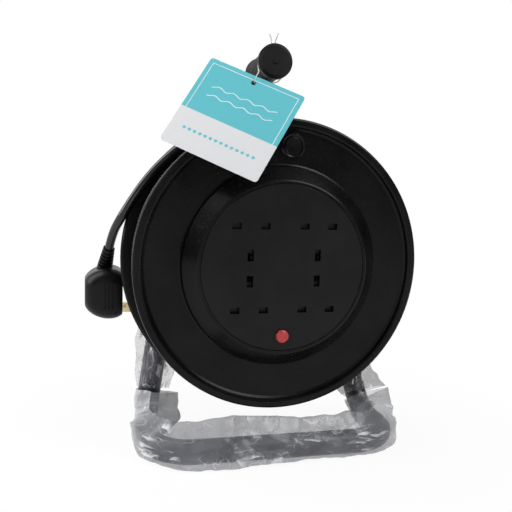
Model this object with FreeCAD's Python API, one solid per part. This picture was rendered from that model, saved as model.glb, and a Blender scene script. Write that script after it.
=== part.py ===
import FreeCAD, Part
import math
import os

# Open-drum extension cord reel: a bent tube stand with a handle carries a spindle, and on it
# turns a moulded drum with four sockets, a thermal cut-out and the wound flex.
# Everything is drawn in the panel frame: origin at the centre of the socket panel's front
# face on the drum axis, +X right, +Y back, +Z up, in mm. put() moves it onto the floor.

# Clearances
EASY = 0.3          # between loose or moving neighbours
SNUG = 0.12         # radial, between a moulding and the tube it grips
RUNNING = 0.05      # radial, between a shaft and its bore

# Stand tube
TUBE_R = 9.5
TUBE_WALL = 1.2
AXIS_ABOVE_TUBE = 150.5   # drum axis above the underside of the tube
BASE_HALF_WIDTH = 97.0
BASE_DEPTH = 75.0         # centreline of the front bar to the foot of the legs
LEG_IN = 0.16             # inward lean per mm of height
LEG_BACK = 0.158          # backward lean per mm of height
FRONT_BEND_R = 32.0
FOOT_BEND_R = 30.0
SHOULDER_BEND_R = 38.0
HANDLE_BEND_R = 24.0
HANDLE_FRONT_Y = 42.0
HANDLE_Z = 159.5          # front end of the handle above the drum axis
HANDLE_SLOPE = math.tan(math.radians(5.0))

# Film sleeves
FILM_UNDER = 0.5
FILM_R = 12.5
LEG_FILM_LOW = 30.0
LEG_FILM_HIGH = 70.0

# Grip
GRIP_R = 12.0
GRIP_DISC_R = 14.0
GRIP_DISC = 6.0
GRIP_LENGTH = 53.5
GRIP_FACE = 3.0
GRIP_RIBS = 9

# Drum
PANEL_R = 63.9
PANEL_THICK = 2.6
SEAT_LEDGE = 3.4          # ledge that the panel sits on
SEAT_R = PANEL_R - SEAT_LEDGE
SHOULDER_R = PANEL_R + 2.1
WALL_FOOT_R = 76.6
WALL_FOOT_Y = 10.3
DISH_Y = 14.2
FLANGE_BACK_Y = 17.4
RIM_R = 113.6
RIM_IN_R = 107.2
RIM_Y = 10.0
SKIN = 2.6
BARREL_R = 76.0
BARREL_WALL = 3.0
REAR_Y = 61.5
REAR_R = 119.0
REAR_THICK = 3.0
REAR_RIM_Y = 66.5
HUB_R = 16.0
HUB_FRONT_Y = 46.0
HUB_BACK_Y = 70.0
REAR_RIBS = 8
SCREW_RING_R = 69.5
SCREW_ANGLES = (45, 135, 225, 315)

# Spindle and boss
SPINDLE_R = 10.0
BOSS_R = 17.0
BOSS_LENGTH = 26.0
WASHER_R = 15.0
WASHER_THICK = 1.5
CLIP_THICK = 1.2
SPINDLE_NOSE = 3.0

# Sockets: 13 A pattern, pins 22.2 mm apart each way
SOCKET_X = 26.5
EARTH_Z = 9.9
PIN_PITCH = 22.2
LINE_SLOT = (7.2, 4.8)
EARTH_SLOT = (4.8, 8.8)
CHIMNEY_Y = 5.0           # back of the slot surrounds
CHIMNEY_EDGE = 1.2
SHUTTER_HALF = 3.4        # half height of the bar over the line slots
TRACK_HALF = 16.1
SHUTTER_THICK = 1.6
SHUTTER_TRAVEL = 6.0
BLOCK_Y = 8.6
BLOCK_THICK = 13.4
BLOCK_HALF = (43.0, 43.5)
LINE_CLIP = (3.4, 3.0)    # half opening and half height of the spring clips
EARTH_CLIP = (2.2, 4.6)
NEUTRAL_Y = 24.0
LIVE_Y = 27.0
EARTH_Y = 30.0
STRIP = 0.8
COVER_Y = 34.0
COVER_R = 62.0
POST_X = 37.0             # cover screws, either side of the axis
POST_Z = 10.0

# Thermal cut-out and reset button
BUTTON_Z = 8.0 - SEAT_R
BUTTON_R = 4.85
BUTTON_PROUD = 3.0
BUTTON_TRAVEL = 2.0
BUTTON_SKIRT_Y = 7.5
BUTTON_STEM_Y = 11.5
CUT_OUT_HALF = 9.0
CUT_OUT_WALL = 1.2

# Pull-out winding knob
KNOB_X = 7.5
KNOB_Z = 92.7
KNOB_R = 7.25
KNOB_SHAFT_R = 6.2
COLLAR_R = 9.85
COLLAR_PROUD = 3.0
WELL_R = 9.2
WELL_BORE_R = 7.9
WELL_FLOOR_Y = 41.0
KNOB_TRAVEL = 18.0

# Flex
FLEX_R = 3.65
WIND_R = 107.6            # centreline of the outer layer
WIND_PITCH = 7.8
WIND_TURNS = 4
WIND_START_DEG = 210.0

# Plug
PLUG_AT = (-131.5, 90.5, -32.0)
PLUG_DEEP = 30.0
PLUG_WIDE = 46.0
PLUG_TALL = 42.0
# Sections from the back of the plug to its pin face: share of depth, width and height
PLUG_SECTIONS = ((0.0, 0.50, 0.52), (0.12, 0.74, 0.74), (0.34, 0.92, 0.92),
                 (0.60, 1.0, 1.0), (0.85, 1.0, 0.96), (1.0, 0.96, 0.84))
DRAWER_HALF_Y = 3.7
DRAWER_DEEP = 11.0
DRAWER_Z = (-8.7, 5.2)    # about the middle of the plug
EARTH_PIN = (22.7, 2.0, 4.0)   # length, half thickness and half width
LINE_PIN = (17.7, 3.2, 2.0)
RELIEF_THIN_R = 4.7
RELIEF_THICK_R = 6.6
RELIEF_LENGTH = 22.0

# Hang tag: middle of the card's back, its turns about Z, X and Y in degrees, and its eye
TAG_SIDE = 80.3
TAG_THICK = 0.5
TAG_CORNER_R = 2.5
TAG_AT = (-39.87, 12.84, 111.32)
TAG_SWING = -16.0
TAG_LEAN = -28.5
TAG_TURN = 24.9
EYE_R = 2.0
EYE_X = -0.54
EYE_Z = 34.0

# Tag string
STRING_R = 0.45
STRING_WRAP_R = 13.8      # corners of its route round the grip, 45 degrees apart
STRING_AT = 9.0           # its first strand behind the front of the grip
STRING_STEP = 1.3         # from that strand to the other one
KNOT_R = 1.5

FLOOR_Z = -AXIS_ABOVE_TUBE - FILM_UNDER
TUBE_Z = TUBE_R - AXIS_ABOVE_TUBE
CROSS_Y = BASE_DEPTH - LEG_BACK * TUBE_Z
SHOULDER_X = BASE_HALF_WIDTH + LEG_IN * TUBE_Z
HANDLE_CORNER_Z = ((HANDLE_Z - HANDLE_SLOPE * (CROSS_Y - HANDLE_FRONT_Y))
                   / (1 + HANDLE_SLOPE * LEG_BACK))
HANDLE_CORNER_Y = CROSS_Y + LEG_BACK * HANDLE_CORNER_Z
GRIP_TILT = FreeCAD.Rotation(FreeCAD.Vector(0, 1, 0), FreeCAD.Vector(0, 1, -HANDLE_SLOPE))
GRIP_SPOT = FreeCAD.Placement(FreeCAD.Vector(0, HANDLE_FRONT_Y, HANDLE_Z), GRIP_TILT)


def vec(x, y, z):
    return FreeCAD.Vector(x, y, z)


Y_AXIS = vec(0, 1, 0)
PIECES = []


def put(name, shape):
    """Keep a sub-part; it is exported once the stand's depth is known."""
    PIECES.append((name, shape))


def disc(radius, y0, y1, x=0.0, z=0.0):
    return Part.makeCylinder(radius, y1 - y0, vec(x, y0, z), Y_AXIS)


def ring(outer, inner, y0, y1, x=0.0, z=0.0):
    return disc(outer, y0, y1, x, z).cut(disc(inner, y0 - 1, y1 + 1, x, z))


def block(x, y, z):
    """Box from three (low, high) pairs."""
    return Part.makeBox(x[1] - x[0], y[1] - y[0], z[1] - z[0], vec(x[0], y[0], z[0]))


def around(value, half):
    return (value - half, value + half)


def turned(points, x=0.0, z=0.0):
    """Solid of revolution about a Y axis from (radius, y) points."""
    loop = [vec(x + r, y, z) for r, y in points]
    face = Part.Face(Part.makePolygon(loop + loop[:1]))
    return face.revolve(vec(x, 0, z), Y_AXIS, 360)


def cut_all(shape, tools):
    for tool in tools:
        shape = shape.cut(tool)
    return shape


def fuse_all(shapes):
    return shapes[0].multiFuse(shapes[1:]).removeSplitter()


def bend(points, radii):
    """Wire of straight runs joined by tangent arcs, one radius for each inner point."""
    edges = []
    start = points[0]
    for before, corner, after, radius in zip(points, points[1:], points[2:], radii):
        into = (corner - before).normalize()
        out = (after - corner).normalize()
        turn = into.getAngle(out)
        reach = radius * math.tan(turn / 2)
        first = corner - into * reach
        last = corner + out * reach
        inward = (out - into).normalize()
        middle = corner + inward * (radius / math.cos(turn / 2) - radius)
        edges.append(Part.LineSegment(start, first).toShape())
        edges.append(Part.Arc(first, middle, last).toShape())
        start = last
    edges.append(Part.LineSegment(start, points[-1]).toShape())
    return Part.Wire(edges)


def sweep(wire, radius):
    """Round solid along a wire that starts with a straight run."""
    first = wire.OrderedEdges[0]
    at = first.valueAt(first.FirstParameter)
    along = first.tangentAt(first.FirstParameter)
    circle = Part.Wire(Part.makeCircle(radius, at, along))
    return Part.Solid(wire.makePipeShell([circle], True, False))


def tube(wire, outer, inner):
    return sweep(wire, outer).cut(sweep(wire, inner))


def stand_route():
    """Closed path of the stand, from the boss round the floor loop and back to the boss."""
    half = [
        vec(0, CROSS_Y, 0),
        vec(SHOULDER_X, CROSS_Y, 0),
        vec(BASE_HALF_WIDTH, BASE_DEPTH, TUBE_Z),
        vec(BASE_HALF_WIDTH, 0, TUBE_Z),
    ]
    other = [vec(-p.x, p.y, p.z) for p in reversed(half)]
    radii = [SHOULDER_BEND_R, FOOT_BEND_R, FRONT_BEND_R]
    return half + other, radii + radii[::-1]


def handle_route():
    return [
        vec(0, CROSS_Y, 0),
        vec(0, HANDLE_CORNER_Y, HANDLE_CORNER_Z),
        vec(0, HANDLE_FRONT_Y + GRIP_FACE, HANDLE_Z - GRIP_FACE * HANDLE_SLOPE),
    ]


def stand():
    """Floor loop, legs and crossbar in one bent tube, coped onto the spindle boss."""
    points, radii = stand_route()
    boss = disc(BOSS_R, CROSS_Y - BOSS_LENGTH, CROSS_Y + BOSS_LENGTH)
    left = bend(points, radii)
    put("stand_tube", tube(left, TUBE_R, TUBE_R - TUBE_WALL).cut(boss))
    upright = bend(handle_route(), [HANDLE_BEND_R])
    put("handle_tube", tube(upright, TUBE_R, TUBE_R - TUBE_WALL).cut(boss))
    put("spindle_boss", ring(BOSS_R, SPINDLE_R, *around(CROSS_Y, BOSS_LENGTH / 2)))


def film_sleeves():
    """Film wrappings on the floor loop and on both legs, cut flat on the floor."""
    points, radii = stand_route()
    floor_cut = block((-200, 200), (-100, 200), (FLOOR_Z - 50, FLOOR_Z))
    rear = BASE_DEPTH - FOOT_BEND_R
    loop = [vec(BASE_HALF_WIDTH, rear, TUBE_Z), points[3], points[4],
            vec(-BASE_HALF_WIDTH, rear, TUBE_Z)]
    wire = bend(loop, [FRONT_BEND_R, FRONT_BEND_R])
    sleeve = tube(wire, FILM_R, TUBE_R + EASY).cut(floor_cut)
    put("base_film_sleeve", sleeve)
    for side, name in ((-1, "left_leg_film_sleeve"), (1, "right_leg_film_sleeve")):
        ends = []
        for height in (LEG_FILM_LOW, LEG_FILM_HIGH):
            ends.append(vec(side * (BASE_HALF_WIDTH - LEG_IN * height),
                            BASE_DEPTH + LEG_BACK * height, TUBE_Z + height))
        run = ends[1] - ends[0]
        outer = Part.makeCylinder(FILM_R, run.Length, ends[0], run)
        inner = Part.makeCylinder(TUBE_R + EASY, run.Length, ends[0], run)
        put(name, outer.cut(inner))


def handle_grip():
    """Moulded grip: closed front disc, waisted ribbed body and a rear collar."""
    end = GRIP_LENGTH
    bore = TUBE_R + SNUG
    profile = [(0, 0), (2.2, 0), (2.6, 0.8), (GRIP_DISC_R - 2.5, 0.8), (GRIP_DISC_R, 2.5),
               (GRIP_DISC_R, GRIP_DISC), (GRIP_R, GRIP_DISC + 1.5)]
    pitch = (GRIP_LENGTH - GRIP_DISC - 10.0) / GRIP_RIBS
    for rib in range(GRIP_RIBS):
        at = GRIP_DISC + 4.0 + rib * pitch
        profile += [(GRIP_R, at), (GRIP_R - 0.7, at + 0.6), (GRIP_R - 0.7, at + 1.8),
                    (GRIP_R, at + 2.4)]
    profile += [(GRIP_R, end - 5.0), (GRIP_DISC_R - 1.0, end - 4.0),
                (GRIP_DISC_R - 1.0, end - 1.0), (GRIP_R, end), (bore, end),
                (bore, GRIP_FACE), (0, GRIP_FACE)]
    grip = turned(profile)
    grip.Placement = GRIP_SPOT
    put("handle_grip", grip)


def spindle():
    """Fixed spindle in the boss, with the thrust washer, retaining washer and clip."""
    back = CROSS_Y + BOSS_LENGTH / 2
    nose_y = HUB_FRONT_Y - WASHER_THICK - CLIP_THICK - SPINDLE_NOSE
    groove_y = HUB_FRONT_Y - WASHER_THICK - CLIP_THICK
    shaft = disc(SPINDLE_R - RUNNING, nose_y, back + 1.5)
    shaft = shaft.makeChamfer(1.0, [e for e in shaft.Edges if len(e.Vertexes) == 1])
    groove = ring(SPINDLE_R + 1, SPINDLE_R - 1.2, groove_y, groove_y + CLIP_THICK)
    put("spindle", shaft.cut(groove))
    thrust_y = HUB_BACK_Y
    put("thrust_washer", ring(WASHER_R, SPINDLE_R, thrust_y + RUNNING, thrust_y + WASHER_THICK))
    spacer_y = thrust_y + WASHER_THICK
    put("spindle_spacer", ring(SPINDLE_R + 3, SPINDLE_R, spacer_y, CROSS_Y - BOSS_LENGTH / 2))
    put("retaining_washer", ring(WASHER_R, SPINDLE_R, HUB_FRONT_Y - WASHER_THICK,
                                 HUB_FRONT_Y - RUNNING))
    clip = ring(SPINDLE_R + 2.6, SPINDLE_R - 1.1, groove_y, groove_y + CLIP_THICK)
    mouth = block((-4, 4), (groove_y - 1, groove_y + 3), (-30, 0))
    put("spindle_clip", clip.cut(mouth))


def knob_well():
    """Tubular well behind the dish for the winding knob, with its bore."""
    well = disc(WELL_R, DISH_Y, WELL_FLOOR_Y + 2.0, KNOB_X, KNOB_Z)
    bore = disc(WELL_BORE_R, DISH_Y - 5, WELL_FLOOR_Y, KNOB_X, KNOB_Z)
    return well, bore


def front_flange():
    """Front moulding: rim, dish, conical wall, panel seat and knob well."""
    profile = [
        (SEAT_R, PANEL_THICK + 0.4), (PANEL_R + EASY, PANEL_THICK + 0.4), (PANEL_R + EASY, 0.4),
        (SHOULDER_R, 0.4), (SHOULDER_R + 1.0, 0.9), (WALL_FOOT_R, WALL_FOOT_Y),
        (WALL_FOOT_R + 1.2, DISH_Y - 0.8), (WALL_FOOT_R + 2.4, DISH_Y),
        (RIM_IN_R - 2.6, DISH_Y), (RIM_IN_R - 1.0, DISH_Y - 1.2), (RIM_IN_R, RIM_Y + 0.5),
        (RIM_IN_R + 1.2, RIM_Y), (RIM_R - 1.6, RIM_Y), (RIM_R - 0.4, RIM_Y + 0.6),
        (RIM_R, RIM_Y + 1.8), (RIM_R, FLANGE_BACK_Y - 0.6), (RIM_R - 2.0, FLANGE_BACK_Y - 0.6),
        (RIM_R - 2.0, RIM_Y + SKIN), (RIM_IN_R + 1.8, RIM_Y + SKIN),
        (RIM_IN_R + 0.4, FLANGE_BACK_Y), (BARREL_R - BARREL_WALL + 1, FLANGE_BACK_Y),
        (BARREL_R - BARREL_WALL + 1, WALL_FOOT_Y + 1.6),
        (SHOULDER_R - 0.6, PANEL_THICK + SKIN + 0.4), (SEAT_R, PANEL_THICK + SKIN + 0.4),
    ]
    well, bore = knob_well()
    lip = ring(COLLAR_R + 1.2, COLLAR_R - 2.6, DISH_Y, DISH_Y + 1.4, KNOB_X, KNOB_Z)
    seat = disc(COLLAR_R + 0.05 - 1.2, DISH_Y - 3, DISH_Y + 1.4, KNOB_X, KNOB_Z)
    shape = fuse_all([turned(profile), well, lip])
    put("front_flange", shape.cut(bore).cut(seat))


def knob():
    """Knob collar, sliding guide, spinning knob and its cap."""
    front = DISH_Y - COLLAR_PROUD
    at = (KNOB_X, KNOB_Z)
    collar = turned([(KNOB_R + EASY, front + 0.8), (COLLAR_R - 1.2, front), (COLLAR_R, front + 1),
                     (COLLAR_R, DISH_Y), (COLLAR_R - 1.2, DISH_Y), (COLLAR_R - 1.2, DISH_Y + 1.4),
                     (KNOB_SHAFT_R + EASY, DISH_Y + 1.4), (KNOB_SHAFT_R + EASY, front + 3.0),
                     (KNOB_R + EASY, front + 3.0)], *at)
    put("knob_collar", collar)
    guide_y = DISH_Y + 1.4 + KNOB_TRAVEL + 0.4
    pin = disc(2.5, front + 4.0, guide_y + 1, *at)
    head = disc(3.4, front + 4.0, front + 5.2, *at)
    plate = disc(WELL_BORE_R - EASY, guide_y, guide_y + 3.0, *at)
    put("knob_guide", fuse_all([plate, pin, head]))
    shaft = turned([(3.8, front + 2.2), (KNOB_SHAFT_R, front + 2.2), (KNOB_SHAFT_R, guide_y - 0.2),
                    (2.5 + RUNNING, guide_y - 0.2), (2.5 + RUNNING, front + 5.4),
                    (3.8, front + 5.4)], *at)
    put("winding_knob", shaft)
    cap = turned([(0, front + 0.5), (KNOB_R - 1.0, front + 0.3), (KNOB_R, front + 1.0),
                  (KNOB_R, front + 2.2), (0, front + 2.2)], *at)
    put("winding_knob_cap", cap)


def socket_centres():
    """(x, z sign) of each socket: the upper pair stands on its head."""
    return [(x, s) for s in (-1, 1) for x in (-SOCKET_X, SOCKET_X)]


def pin_places():
    """Earth, live and neutral (x, z) of each socket."""
    line_z = EARTH_Z + PIN_PITCH
    half = PIN_PITCH / 2
    earth = [(x, s * EARTH_Z) for x, s in socket_centres()]
    live = [(x - s * half, s * line_z) for x, s in socket_centres()]
    neutral = [(x + s * half, s * line_z) for x, s in socket_centres()]
    return earth, live, neutral


def slots(places, size, y):
    return [block(around(x, size[0] / 2), y, around(z, size[1] / 2)) for x, z in places]


def socket_plate():
    """Inset panel with the twelve pin slots and the button hole."""
    earth, live, neutral = pin_places()
    plate = disc(PANEL_R, 0, PANEL_THICK)
    rim = [e for e in plate.Edges if len(e.Vertexes) == 1 and e.CenterOfMass.y < 1]
    plate = plate.makeChamfer(0.5, rim)
    behind = (PANEL_THICK - 0.5, CHIMNEY_Y)
    grown = [(side + 2 * CHIMNEY_EDGE) for side in EARTH_SLOT]
    surrounds = slots(earth, grown, behind)
    grown = [(side + 2 * CHIMNEY_EDGE) for side in LINE_SLOT]
    surrounds += slots(live + neutral, grown, behind)
    plate = fuse_all([plate] + surrounds)
    depth = (-1, CHIMNEY_Y + 1)
    plate = cut_all(plate, slots(earth, EARTH_SLOT, depth))
    plate = cut_all(plate, slots(live + neutral, LINE_SLOT, depth))
    put("socket_plate", plate.cut(disc(BUTTON_R + EASY, -1, 4, 0, BUTTON_Z)))


def contact_block():
    """Socket moulding behind the panel: shutter tracks in front, contact chambers through."""
    earth, live, neutral = pin_places()
    back = BLOCK_Y + BLOCK_THICK
    body = block(around(0, BLOCK_HALF[0]), (PANEL_THICK, back), around(0, BLOCK_HALF[1]))
    outer = EARTH_Z + PIN_PITCH + SHUTTER_HALF + SHUTTER_TRAVEL + EASY
    upright = [e for e in body.Edges if abs(e.tangentAt(0).y) > 0.9]
    body = body.makeFillet(8.0, upright)
    for x, s in socket_centres():
        low, high = sorted((s * 2.0, s * outer))
        body = body.cut(block(around(x, TRACK_HALF), (PANEL_THICK - 1, BLOCK_Y), (low, high)))
    for places, (half_x, half_z) in ((earth, EARTH_CLIP), (live + neutral, LINE_CLIP)):
        chamber = (2 * (half_x + STRIP + EASY), 2 * (half_z + EASY))
        body = cut_all(body, slots(places, chamber, (0, back + 1)))
    put("contact_block", body.common(disc(SEAT_R - EASY, 0, back + 1)))


def shutters():
    """Sliding shutter of each socket, shut over the live and neutral slots."""
    line_z = EARTH_Z + PIN_PITCH
    names = {(-SOCKET_X, -1): "shutter_lower_left", (SOCKET_X, -1): "shutter_lower_right",
             (-SOCKET_X, 1): "shutter_upper_left", (SOCKET_X, 1): "shutter_upper_right"}
    front = CHIMNEY_Y + 0.1
    y = (front, front + SHUTTER_THICK)
    for (x, s), name in names.items():
        low, high = sorted((s * (line_z - SHUTTER_HALF), s * (line_z + SHUTTER_HALF)))
        bar = block(around(x, TRACK_HALF - EASY), y, (low, high))
        tip = EARTH_Z + EARTH_SLOT[1] / 2 - SHUTTER_TRAVEL
        ramp = [vec(x - 4.0, y[0], s * (tip + 3.0)), vec(x - 4.0, y[1] + 1.4, s * tip),
                vec(x - 4.0, y[1] + 1.4, s * line_z), vec(x - 4.0, y[0], s * line_z)]
        tongue = Part.Face(Part.makePolygon(ramp + ramp[:1])).extrude(vec(8.0, 0, 0))
        put(name, fuse_all([bar, tongue]))


def clip(x, z, half_x, half_z, y0, y1):
    """Two spring leaves on either side of a pin, joined at their back."""
    leaves = [block((x - half_x - STRIP, x - half_x), (y0, y1), around(z, half_z)),
              block((x + half_x, x + half_x + STRIP), (y0, y1), around(z, half_z)),
              block(around(x, half_x + STRIP), (y1, y1 + STRIP), around(z, half_z))]
    return leaves


def bus_bar(name, places, offset, y1, link_x, half):
    """Contact clips of one pole on their strips, with the link between the rows."""
    parts = []
    for x, z in places:
        parts += clip(x, z, half[0], half[1], BLOCK_Y + 2.0, y1)
        row = z + offset * (1 if z > 0 else -1)
        low, high = sorted((z, row))
        if high > low:
            parts.append(block(around(x, 2.5), (y1, y1 + STRIP), (low, high)))
    rows = sorted({round(z + offset * (1 if z > 0 else -1), 3) for _, z in places})
    for row in rows:
        xs = [x for x, z in places if (z > 0) == (row > 0)]
        parts.append(block((min(xs + [link_x]) - 2.5, max(xs + [link_x]) + 2.5),
                           (y1, y1 + STRIP), around(row, 2.5)))
    parts.append(block(around(link_x, 2.5), (y1, y1 + STRIP), (rows[0], rows[-1])))
    put(name, fuse_all(parts))


def electrics():
    """Bus bars, cut-out, button, rear cover and cable clamp."""
    earth, live, neutral = pin_places()
    bus_bar("live_bus_bar", live, 6.0, LIVE_Y, 8.0, LINE_CLIP)
    bus_bar("neutral_bus_bar", neutral, -7.5, NEUTRAL_Y, -8.0, LINE_CLIP)
    bus_bar("earth_bus_bar", earth, 0.0, EARTH_Y, 0.0, EARTH_CLIP)
    low = BUTTON_Z - BUTTON_R - EASY - CUT_OUT_WALL
    high = -BLOCK_HALF[1] - EASY
    body = block(around(0, CUT_OUT_HALF), (PANEL_THICK + 0.4, 24), (low, high))
    hole = disc(BUTTON_R + EASY, 0, BUTTON_SKIRT_Y + BUTTON_TRAVEL + 0.5, 0, BUTTON_Z)
    stem = disc(2.2, 0, BUTTON_STEM_Y + BUTTON_TRAVEL + 0.5, 0, BUTTON_Z)
    tabs = [block(around(x, 3.1), (24, 31), around(BUTTON_Z, 0.4)) for x in (-5.5, 5.5)]
    put("thermal_cut_out", fuse_all([body] + tabs).cut(hole).cut(stem))
    cap = turned([(0, -BUTTON_PROUD), (BUTTON_R - 1.2, -BUTTON_PROUD),
                  (BUTTON_R, 1.0 - BUTTON_PROUD), (BUTTON_R, BUTTON_SKIRT_Y),
                  (1.9, BUTTON_SKIRT_Y), (1.9, BUTTON_STEM_Y), (0, BUTTON_STEM_Y)], 0, BUTTON_Z)
    put("reset_button", cap)
    cover = disc(COVER_R, COVER_Y, COVER_Y + 2.0)
    cover = cover.cut(disc(4.0, COVER_Y - 1, COVER_Y + 3, -45, 0))
    cover = cover.cut(disc(SPINDLE_R + 3.0, COVER_Y - 1, COVER_Y + 3))
    spots = [(x, z) for x in (-POST_X, POST_X) for z in (-POST_Z, POST_Z)]
    cover = cut_all(cover, [disc(1.5, COVER_Y - 1, COVER_Y + 3, x, z) for x, z in spots])
    posts = [ring(3.4, 1.4, BLOCK_Y + BLOCK_THICK, COVER_Y, x, z) for x, z in spots]
    put("rear_cover", cover.multiFuse(posts).removeSplitter())
    screws = []
    for x, z in spots:
        head = disc(3.0, COVER_Y + 2.0, COVER_Y + 4.0, x, z)
        shank = disc(1.35, BLOCK_Y + BLOCK_THICK + 2.0, COVER_Y + 3.0, x, z)
        screws.append(fuse_all([head, shank]))
    put("cover_screws", Part.makeCompound(screws))


def screw_places():
    """(x, z) of the four screws that join the rear flange to the barrel."""
    turns = [math.radians(angle) for angle in SCREW_ANGLES]
    return [(SCREW_RING_R * math.cos(turn), SCREW_RING_R * math.sin(turn)) for turn in turns]


def core_barrel():
    """Barrel between the flanges with its cable hole and four screw posts."""
    shape = ring(BARREL_R, BARREL_R - BARREL_WALL, FLANGE_BACK_Y, REAR_Y)
    low = FLANGE_BACK_Y + 8
    posts = [disc(4.2, low, REAR_Y, x, z) for x, z in screw_places()]
    shape = fuse_all([shape] + posts)
    shape = cut_all(shape, [disc(1.6, low - 1, REAR_Y + 1, x, z) for x, z in screw_places()])
    entry = Part.makeCylinder(4.6, 20, vec(-66, 52, 0), vec(-1, 0, 0))
    put("core_barrel", shape.cut(entry))


def rear_flange():
    """Rear moulding: dished disc with a rolled rim, radial ribs and the bearing hub."""
    profile = [
        (SPINDLE_R + RUNNING, HUB_FRONT_Y), (HUB_R, HUB_FRONT_Y), (HUB_R, REAR_Y),
        (REAR_R - 1.5, REAR_Y), (REAR_R, REAR_Y + 1.5), (REAR_R, REAR_RIM_Y - 1.5),
        (REAR_R - 1.5, REAR_RIM_Y), (REAR_R - 5.0, REAR_RIM_Y),
        (REAR_R - 7.0, REAR_Y + REAR_THICK), (HUB_R + 1.0, REAR_Y + REAR_THICK),
        (HUB_R, HUB_BACK_Y), (SPINDLE_R + RUNNING, HUB_BACK_Y),
    ]
    shapes = [turned(profile)]
    for index in range(REAR_RIBS):
        rib = block((HUB_R - 2, REAR_R - 6), (REAR_Y + 1, REAR_RIM_Y), (-1.2, 1.2))
        rib.rotate(vec(0, 0, 0), Y_AXIS, 360.0 * index / REAR_RIBS)
        shapes.append(rib)
    shape = fuse_all(shapes)
    screws = []
    for x, z in screw_places():
        shape = shape.cut(disc(5.0, REAR_Y + REAR_THICK, REAR_RIM_Y + 1, x, z))
        shape = shape.cut(disc(1.9, REAR_Y - 1, REAR_RIM_Y + 1, x, z))
        head = disc(3.4, REAR_Y + REAR_THICK, REAR_Y + REAR_THICK + 2.0, x, z)
        shank = disc(1.55, REAR_Y - 14, REAR_Y + REAR_THICK + 1, x, z)
        screws.append(fuse_all([head, shank]))
    put("rear_flange", shape)
    put("flange_screws", Part.makeCompound(screws))


def pocket(y1, extra):
    return disc(WELL_R + extra, FLANGE_BACK_Y - 5, y1, KNOB_X, KNOB_Z)


def biarc(p0, t0, p1, t1):
    """Two tangent arcs from p0 heading t0 to p1 heading t1."""
    run = p1 - p0
    both = t0 + t1
    slack = 2 * (1 - t0.dot(t1))
    reach = (-run.dot(both) + math.sqrt(run.dot(both) ** 2 + slack * run.dot(run))) / slack
    joint = (p0 + p1 + (t0 - t1) * reach) * 0.5
    arcs = []
    for start, end, corner in ((p0, joint, p0 + t0 * reach), (joint, p1, p1 - t1 * reach)):
        middle = (start + end) * 0.5
        half = (end - start).Length / 2
        lift = corner - middle
        angle = math.atan2(lift.Length, half)
        arcs.append(Part.Arc(start, middle + lift * (math.tan(angle / 2) / math.tan(angle)), end))
    return arcs


def winding():
    """Inner layers as a plain core, and the outer layer as one wound tube."""
    core = ring(WIND_R - FLEX_R - EASY, BARREL_R + EASY, FLANGE_BACK_Y + EASY, REAR_Y - EASY)
    core = core.cut(pocket(WELL_FLOOR_Y + 2.0 + 0.5, 0.5))
    put("winding_inner_layers", core)
    rise = WIND_PITCH / (2 * math.pi * WIND_R)
    scale = 1 / math.hypot(1, rise)
    first_y = FLANGE_BACK_Y + EASY + FLEX_R + 0.3

    def point(turn):
        angle = math.radians(WIND_START_DEG) - 2 * math.pi * turn
        return vec(WIND_R * math.cos(angle), first_y + WIND_PITCH * turn, WIND_R * math.sin(angle))

    def heading(turn):
        angle = math.radians(WIND_START_DEG) - 2 * math.pi * turn
        return vec(math.sin(angle) * scale, rise * scale, -math.cos(angle) * scale)

    quarters = 4 * WIND_TURNS
    start = point(0) - heading(0) * (2 * FLEX_R)
    arcs = [Part.LineSegment(start, point(0))]
    for quarter in range(quarters):
        a, b = quarter / 4, (quarter + 1) / 4
        arcs += biarc(point(a), heading(a), point(b), heading(b))
    end = point(WIND_TURNS) + heading(WIND_TURNS) * (2 * FLEX_R)
    arcs.append(Part.LineSegment(point(WIND_TURNS), end))
    wire = Part.Wire([arc.toShape() for arc in arcs])
    coil = sweep(wire, FLEX_R)
    put("winding_outer_layer", coil)
    samples = wire.discretize(Distance=2.0)
    least = WIND_PITCH
    skip = int(40 / 2.0)
    for i, a in enumerate(samples):
        for b in samples[i + skip:]:
            least = min(least, (a - b).Length)
    print("outer layer: length", round(wire.Length, 1), "least gap", round(least - 2 * FLEX_R, 2),
          "volume ratio", round(coil.Volume / (math.pi * FLEX_R ** 2 * wire.Length), 4))


def cord_wire(points):
    """Straight runs joined by arcs as large as the two runs allow."""
    radii = []
    for before, corner, after in zip(points, points[1:], points[2:]):
        turn = (corner - before).getAngle(after - corner)
        shorter = min((corner - before).Length, (after - corner).Length)
        radii.append(0.45 * shorter / math.tan(turn / 2))
    return bend(points, radii), radii


# Route of the tail: angle about the drum axis in degrees, distance from it and depth
TAIL = [
    (118.0, 115.6, 50.5),
    (128.5, 116.1, 51.5),
    (139.0, 116.9, 52.0),
    (149.0, 118.4, 52.3),
    (157.5, 120.3, 54.2),
    (165.0, 123.3, 60.5),
    (171.5, 126.2, 72.5),
]


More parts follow.
